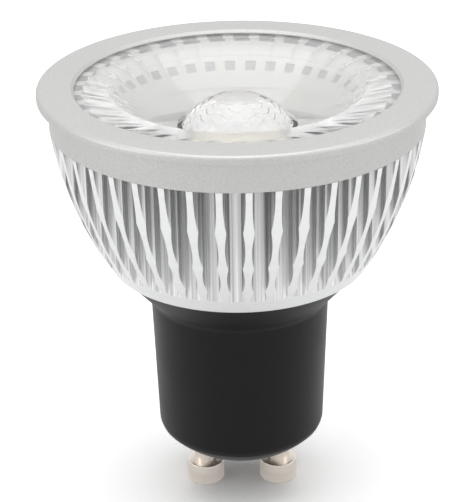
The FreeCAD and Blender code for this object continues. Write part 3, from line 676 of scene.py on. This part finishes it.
def at_window(face, turn_range):
    """Whether a face lies in the stretch of the window pitch that the windows take up."""
    centre = face.calc_center_median()
    first, last = turn_range
    return (math.degrees(math.atan2(centre.y, centre.x)) - first) % WINDOW_PITCH < last - first


def cap_sphere(half_width, height):
    return (half_width ** 2 + height ** 2) / (2 * height)


DOME_SPHERE = cap_sphere(DOME_RADIUS, DOME_TOP - FUNNEL_FLOOR)


def lenslet_depth(down, angle):
    """How deep the dome's surface lies under its sphere, by arc distance from the top and angle."""
    if down < MIDDLE_RADIUS:
        return down ** 2 / (2 * MIDDLE_ROUND)
    nearest = LENSLET_RADIUS
    for number, (row, count) in enumerate(LENSLET_ROWS):
        step = math.tau / count
        turned = (angle + math.pi / 2 + step * (0.5 * number + 0.5)) % step - step / 2
        away = math.hypot(down - row, turned * DOME_SPHERE * math.sin(down / DOME_SPHERE))
        if away < LENSLET_RADIUS:
            nearest = away
            break
    return nearest ** 2 / (2 * LENSLET_ROUND)


def shape_dome(bm):
    """Cuts the lenslets into the dome."""
    centre = Vector((0.0, 0.0, (DOME_TOP - DOME_SPHERE) * MM))
    for vert in bm.verts:
        ray = vert.co - centre
        on_sphere = abs(ray.length - DOME_SPHERE * MM) < NEAR
        if on_sphere and vert.co.z > (FUNNEL_FLOOR + SLACK) * MM:
            down = DOME_SPHERE * math.acos(min(1.0, ray.z / ray.length))
            depth = lenslet_depth(down, math.atan2(ray.y, ray.x))
            vert.co = centre + ray.normalized() * (DOME_SPHERE - depth) * MM


def shape_flutes(bm):
    """Cuts round flutes into the cone's back: deepest at the top, running out towards the foot."""
    lowest_share = 0.02
    highest_share = 1.001
    rise = LENS_CONE_TOP - LENS_CONE_BOTTOM
    spread_out = LENS_CONE_RADIUS - LENS_FOOT_RADIUS
    slant = math.hypot(rise, spread_out)
    step = math.tau / FLUTE_COUNT
    for vert in bm.verts:
        height = vert.co.z / MM
        share = (height - LENS_CONE_BOTTOM) / rise
        radius = radius_of(vert) / MM
        on_cone = abs(radius - (LENS_FOOT_RADIUS + share * spread_out)) < NEAR / MM
        if not on_cone or not lowest_share <= share <= highest_share:
            continue
        angle = math.atan2(vert.co.y, vert.co.x)
        around = radius * ((angle + step / 2) % step - step / 2)
        offset = FLUTE_RADIUS + FLUTE_RUN_OUT - (FLUTE_RUN_OUT + FLUTE_TOP_DEPTH) * share
        depth = math.sqrt(max(0.0, FLUTE_RADIUS ** 2 - around ** 2)) - offset
        if depth > 0:
            set_radius(vert, radius - depth * rise / slant)
            vert.co.z += depth * spread_out / slant * MM


def make_lens():
    pocket_edge = 50.25
    pocket_bulge = 0.7
    pocket_radius = 6.4
    pocket_steps = 10
    foot_inner = 7.0
    funnel_floor_radius = 7.6
    funnel_round = 0.15
    edge_round = 0.12
    flange_start = LENS_CONE_RADIUS + 0.1
    facing_down = -0.5
    sphere = cap_sphere(pocket_radius, pocket_bulge)
    sweep = math.degrees(math.asin(pocket_radius / sphere))
    bm = bmesh.new()
    last = bm.verts.new(place(0.0, pocket_edge - pocket_bulge))
    last = arc_on(bm, last, place(0.0, pocket_edge - pocket_bulge + sphere), -sweep, pocket_steps)
    last = line_to(bm, last, foot_inner, LED_BOARD_TOP)
    last = line_to(bm, last, LENS_FOOT_RADIUS, LED_BOARD_TOP)
    last = line_to(bm, last, LENS_FOOT_RADIUS, LENS_CONE_BOTTOM)
    foot = Vector((LENS_FOOT_RADIUS, LENS_CONE_BOTTOM))
    rim = Vector((LENS_CONE_RADIUS, LENS_CONE_TOP))
    for row in range(1, CONE_ROWS + 1):
        last = line_to(bm, last, *foot.lerp(rim, row / CONE_ROWS))
    for corner in (
        (LENS_RADIUS, LENS_CONE_TOP),
        (LENS_RADIUS, LENS_TOP),
        (FUNNEL_RADIUS, LENS_TOP),
        (funnel_floor_radius, FUNNEL_FLOOR),
        (DOME_RADIUS, FUNNEL_FLOOR),
    ):
        last = line_to(bm, last, *corner)
    sweep = math.degrees(math.asin(DOME_RADIUS / DOME_SPHERE))
    arc_on(bm, last, place(0.0, DOME_TOP - DOME_SPHERE), -sweep, DOME_ROWS)
    turn(bm, LENS_STEPS)
    shape_flutes(bm)
    shape_dome(bm)
    soften(bm, FUNNEL_RADIUS, LENS_TOP, funnel_round)
    soften(bm, LENS_RADIUS, LENS_TOP, edge_round)

    # The back is satin, and the flange's underside is white with windows whose grey is painted shade
    for face in bm.faces:
        if face.normal.z > facing_down:
            continue
        if face.calc_center_median().xy.length < flange_start * MM:
            face.material_index = 1
        else:
            face.material_index = 3 if at_window(face, CONE_WINDOW_TURN) else 2
    finish_piece("lens_moulded", bm, [clear_plastic, satin_plastic, well_white, window_painted_shade], "lens")


def along(start, end, height):
    """The point at a height on the straight line between two (radius, height) points."""
    return start.lerp(end, (height - start.y) / (end.y - start.y))


def windows_on(bm, heights, turn_range):
    """The upward faces between two heights, at the same stretch of each window pitch."""
    facing_up = 0.1
    low, high = (height * MM for height in heights)
    upward = [face for face in bm.faces if face.normal.z > facing_up]
    between = [face for face in upward if low < face.calc_center_median().z < high]
    return [face for face in between if at_window(face, turn_range)]


def make_lens_holder():
    thickness = 0.15
    window_edge = 0.03
    window_depth = 0.06
    steepness = (LENS_CONE_TOP - LENS_CONE_BOTTOM) / (LENS_CONE_RADIUS - LENS_FOOT_RADIUS)
    rim = Vector((HOLDER_RADIUS, HOLDER_TOP))
    toe_height = SPIGOT_TOP + thickness
    toe = Vector((HOLDER_RADIUS - (HOLDER_TOP - toe_height) / steepness, toe_height))
    well_top = Vector((LENS_WELL_RADIUS, SPIGOT_TOP))
    well_bottom = Vector((LED_WELL_RADIUS, LED_WELL_TOP))
    proud = Vector((-thickness, 0.0))
    bm = bmesh.new()
    draw(bm, [
        well_top,
        (LENS_RADIUS, SPIGOT_TOP),
        (LENS_RADIUS, HOLDER_TOP),
        rim,
        along(rim, toe, CONE_WINDOWS[1]),
        along(rim, toe, CONE_WINDOWS[0]),
        toe,
        along(well_top, well_bottom, SKIRT_WINDOWS[1]) + proud,
        along(well_top, well_bottom, SKIRT_WINDOWS[0]) + proud,
        along(well_top, well_bottom, SKIRT_END) + proud,
        along(well_top, well_bottom, SKIRT_END),
    ], closed=True)
    turn(bm, HOLDER_STEPS)
    cone_windows = windows_on(bm, CONE_WINDOWS, CONE_WINDOW_TURN)
    skirt_windows = windows_on(bm, SKIRT_WINDOWS, SKIRT_WINDOW_TURN)
    # The windows' greys are painted shade
    for number, windows in enumerate((cone_windows, skirt_windows), 1):
        for face in windows:
            face.material_index = number
    bmesh.ops.inset_region(bm, faces=cone_windows + skirt_windows, thickness=window_edge * MM,
                           depth=-window_depth * MM, use_even_offset=True)
    finish_piece("lens_holder", bm, [well_white, window_painted_shade, window_pale_painted_shade], None)


make_front_ring()
make_lens_holder()
make_lens()
make_heat_sink()
make_base()
make_pin(-1, "contact_pin_left")
make_pin(1, "contact_pin_right")


# Finishes of the inner pieces, which keep their CAD solids

def dress(material, *names):
    for name in names:
        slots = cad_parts[name].data.materials
        slots.clear()
        slots.append(material)


# Each finish: name, dark and light colour, metallic, smoothest and roughest, and its pieces
INNER_FINISHES = (
    ("board_white", (0.92, 0.92, 0.91), (0.96, 0.96, 0.95), 0.0, (0.30, 0.40), ("led_board",)),
    ("silicone_white", (0.91, 0.91, 0.90), (0.95, 0.95, 0.94), 0.0, (0.35, 0.45), ("phosphor_dam",)),
    ("silicone_grey", (0.36, 0.38, 0.41), (0.44, 0.46, 0.49), 0.0, (0.50, 0.62), ("thermal_pad",)),
    ("screw_steel", (0.56, 0.56, 0.55), (0.66, 0.66, 0.65), 1.0, (0.26, 0.36),
     ("led_screws", "base_screws")),
    ("board_green", (0.04, 0.18, 0.08), (0.07, 0.25, 0.11), 0.0, (0.34, 0.44), ("driver_board",)),
    ("ferrite", (0.045, 0.045, 0.05), (0.075, 0.075, 0.08), 0.0, (0.52, 0.64), ("transformer_core",)),
    ("bobbin_plastic", (0.04, 0.04, 0.04), (0.06, 0.06, 0.06), 0.0, (0.46, 0.56), ("transformer_bobbin",)),
    ("sleeve_black", (0.03, 0.03, 0.05), (0.05, 0.05, 0.07), 0.0, (0.22, 0.32),
     ("input_capacitor", "output_capacitor")),
    ("film_yellow", (0.74, 0.54, 0.09), (0.85, 0.65, 0.15), 0.0, (0.26, 0.36), ("film_capacitor",)),
    ("chip_black", (0.024, 0.024, 0.024), (0.036, 0.036, 0.036), 0.0, (0.50, 0.60),
     ("bridge_rectifier", "driver_chip")),
    ("resistor_blue", (0.08, 0.19, 0.38), (0.12, 0.25, 0.46), 0.0, (0.30, 0.40), ("fuse_resistor",)),
    ("lead_white", (0.76, 0.76, 0.74), (0.84, 0.84, 0.82), 0.0, (0.42, 0.52),
     ("mains_lead_left", "mains_lead_right")),
    ("lead_red", (0.54, 0.04, 0.03), (0.66, 0.06, 0.05), 0.0, (0.40, 0.50), ("led_lead_red",)),
    ("lead_black", (0.024, 0.024, 0.024), (0.036, 0.036, 0.036), 0.0, (0.40, 0.50), ("led_lead_black",)),
)
for name, dark, light, metallic, rough, names in INNER_FINISHES:
    finish, _ = grained(name, dark, light, rough, metallic)
    dress(finish, *names)

# The phosphor has a faint painted glow, though the bulb is unlit
phosphor, phosphor_shader = grained("phosphor_yellow", (0.94, 0.90, 0.79), (0.97, 0.94, 0.86),
                                    rough=(0.38, 0.46))
phosphor_shader.inputs["Emission Color"].default_value = (1.0, 0.96, 0.87, 1.0)
phosphor_shader.inputs["Emission Strength"].default_value = 0.18
dress(phosphor, "phosphor_disc")

winding = lined("copper_winding", turning_group, (0.55, 0.24, 0.12), (0.82, 0.46, 0.28),
                rough=(0.25, 0.40), line_scale=2600.0, bump=0.5, depth=0.05)
dress(winding, "transformer_winding")


# Stage, light and camera

def seen_directly(tree):
    """1 for rays from the camera and for what metal and glass reflect or let through."""
    path = tree.nodes.new("ShaderNodeLightPath")
    first = maths(tree, "MAXIMUM", path.outputs["Is Camera Ray"], path.outputs["Is Glossy Ray"])
    return maths(tree, "MAXIMUM", first, path.outputs["Is Transmission Ray"])


def make_pale_floor():
    """The floor's finish: brighter where metal and glass mirror it, and darker close to the bulb by
    painted shadow.
    """
    mirror_glow = 0.26
    paper_in_painted_shadow = 0.84
    paper_open = 1.65
    shadow_reach = 35.0
    material, tree, shader = new_material("pale_floor", roughness=0.9)
    shader.inputs["Base Color"].default_value = (0.85, 0.85, 0.85, 1.0)
    shader.inputs["Specular IOR Level"].default_value = 0.0
    shader.inputs["Emission Color"].default_value = (1.0, 1.0, 1.0, 1.0)
    path = tree.nodes.new("ShaderNodeLightPath")
    mirrored = maths(tree, "MAXIMUM", path.outputs["Is Glossy Ray"], path.outputs["Is Transmission Ray"])
    glow = maths(tree, "MULTIPLY", mirrored, mirror_glow)
    tree.links.new(glow, shader.inputs["Emission Strength"])
    # Painted shadow: the paper the camera sees is darkened where the bulb is near
    painted_shadow_ao = tree.nodes.new("ShaderNodeAmbientOcclusion")
    painted_shadow_ao.inputs["Distance"].default_value = shadow_reach * MM
    paper = tree.nodes.new("ShaderNodeBsdfDiffuse")
    paper_with_painted_shadow = spread(tree, painted_shadow_ao.outputs["AO"], paper_in_painted_shadow, paper_open)
    tree.links.new(paper_with_painted_shadow, paper.inputs["Color"])
    seen = tree.nodes.new("ShaderNodeMixShader")
    tree.links.new(path.outputs["Is Camera Ray"], seen.inputs["Fac"])
    tree.links.new(shader.outputs["BSDF"], seen.inputs[1])
    tree.links.new(paper.outputs["BSDF"], seen.inputs[2])
    tree.links.new(seen.outputs["Shader"], tree.nodes["Material Output"].inputs["Surface"])
    return material


def make_floor():
    half_size = 3.0
    drop = 0.01
    bm = bmesh.new()
    bmesh.ops.create_grid(bm, x_segments=1, y_segments=1, size=half_size)
    bmesh.ops.translate(bm, verts=bm.verts, vec=(0.0, 0.0, -drop * MM))
    mesh = bpy.data.meshes.new("floor")
    bm.to_mesh(mesh)
    bm.free()
    mesh.materials.append(make_pale_floor())
    floor = bpy.data.objects.new("floor", mesh)
    bpy.context.scene.collection.objects.link(floor)


def set_world():
    world = bpy.data.worlds.new("studio")
    bpy.context.scene.world = world
    world.use_nodes = True
    tree = world.node_tree
    background = tree.nodes["Background"]
    background.inputs["Color"].default_value = (1.0, 1.0, 1.0, 1.0)

    # White where it is seen, and dimmer as light on the bulb
    room_light = 0.55
    added = maths(tree, "MULTIPLY", seen_directly(tree), 1.0 - room_light)
    tree.links.new(maths(tree, "ADD", added, room_light), background.inputs["Strength"])


def add_softbox(name, across, up, back, size, power):
    """A softbox aimed at the middle of the bulb, with its place and size in metres."""
    data = bpy.data.lights.new(name, "AREA")
    data.shape = "RECTANGLE"
    data.size, data.size_y = size
    data.energy = power
    lamp = bpy.data.objects.new(name, data)
    lamp.location = (across, back, up)
    bulb_middle = Vector((0.0, 0.0, 0.03))
    lamp.rotation_euler = (bulb_middle - lamp.location).to_track_quat("-Z", "Y").to_euler()
    bpy.context.scene.collection.objects.link(lamp)
    return lamp


def set_camera():
    """A camera at the photo's viewing angle, with its lengths in millimetres."""
    focal_length = 124.06
    distance = 225.3
    rise = math.radians(25.33)
    swing = math.radians(-0.7)
    roll = math.radians(-0.8)
    aim = Vector((-0.43, 0.0, 34.22)) * MM
    data = bpy.data.cameras.new("camera")
    data.sensor_fit = "VERTICAL"
    data.sensor_height = 36.0
    data.lens = focal_length
    data.clip_start = 0.01
    camera = bpy.data.objects.new("camera", data)
    level_reach = math.cos(rise)
    away = Vector((math.sin(swing) * level_reach, -math.cos(swing) * level_reach, math.sin(rise)))
    camera.location = aim + away * distance * MM
    level = (-away).to_track_quat("-Z", "Y")
    camera.rotation_euler = (level @ Quaternion(AXIS, roll)).to_euler()
    bpy.context.scene.collection.objects.link(camera)
    bpy.context.scene.camera = camera


make_floor()
set_world()
overhead = add_softbox("softbox_top", across=0.0, up=0.55, back=0.05, size=(0.5, 0.5), power=0.8)
overhead.visible_transmission = False
add_softbox("softbox_left", across=-0.5, up=0.25, back=-0.2, size=(0.3, 0.5), power=0.5)
add_softbox("softbox_right", across=0.5, up=0.25, back=-0.1, size=(0.3, 0.5), power=0.38)

# A softbox for what lies under the lens alone, so that the white there looks white
under_lens = add_softbox("softbox_lens", across=0.0, up=0.48, back=-0.22, size=(0.8, 0.65), power=2.5)
under_lens.visible_diffuse = False
under_lens.visible_glossy = False
set_camera()
bpy.context.scene.view_settings.view_transform = "Standard"

# Enough bounces for light to find its way through the lens
cycles = bpy.context.scene.cycles
cycles.max_bounces = 32
cycles.glossy_bounces = 24
cycles.transmission_bounces = 32
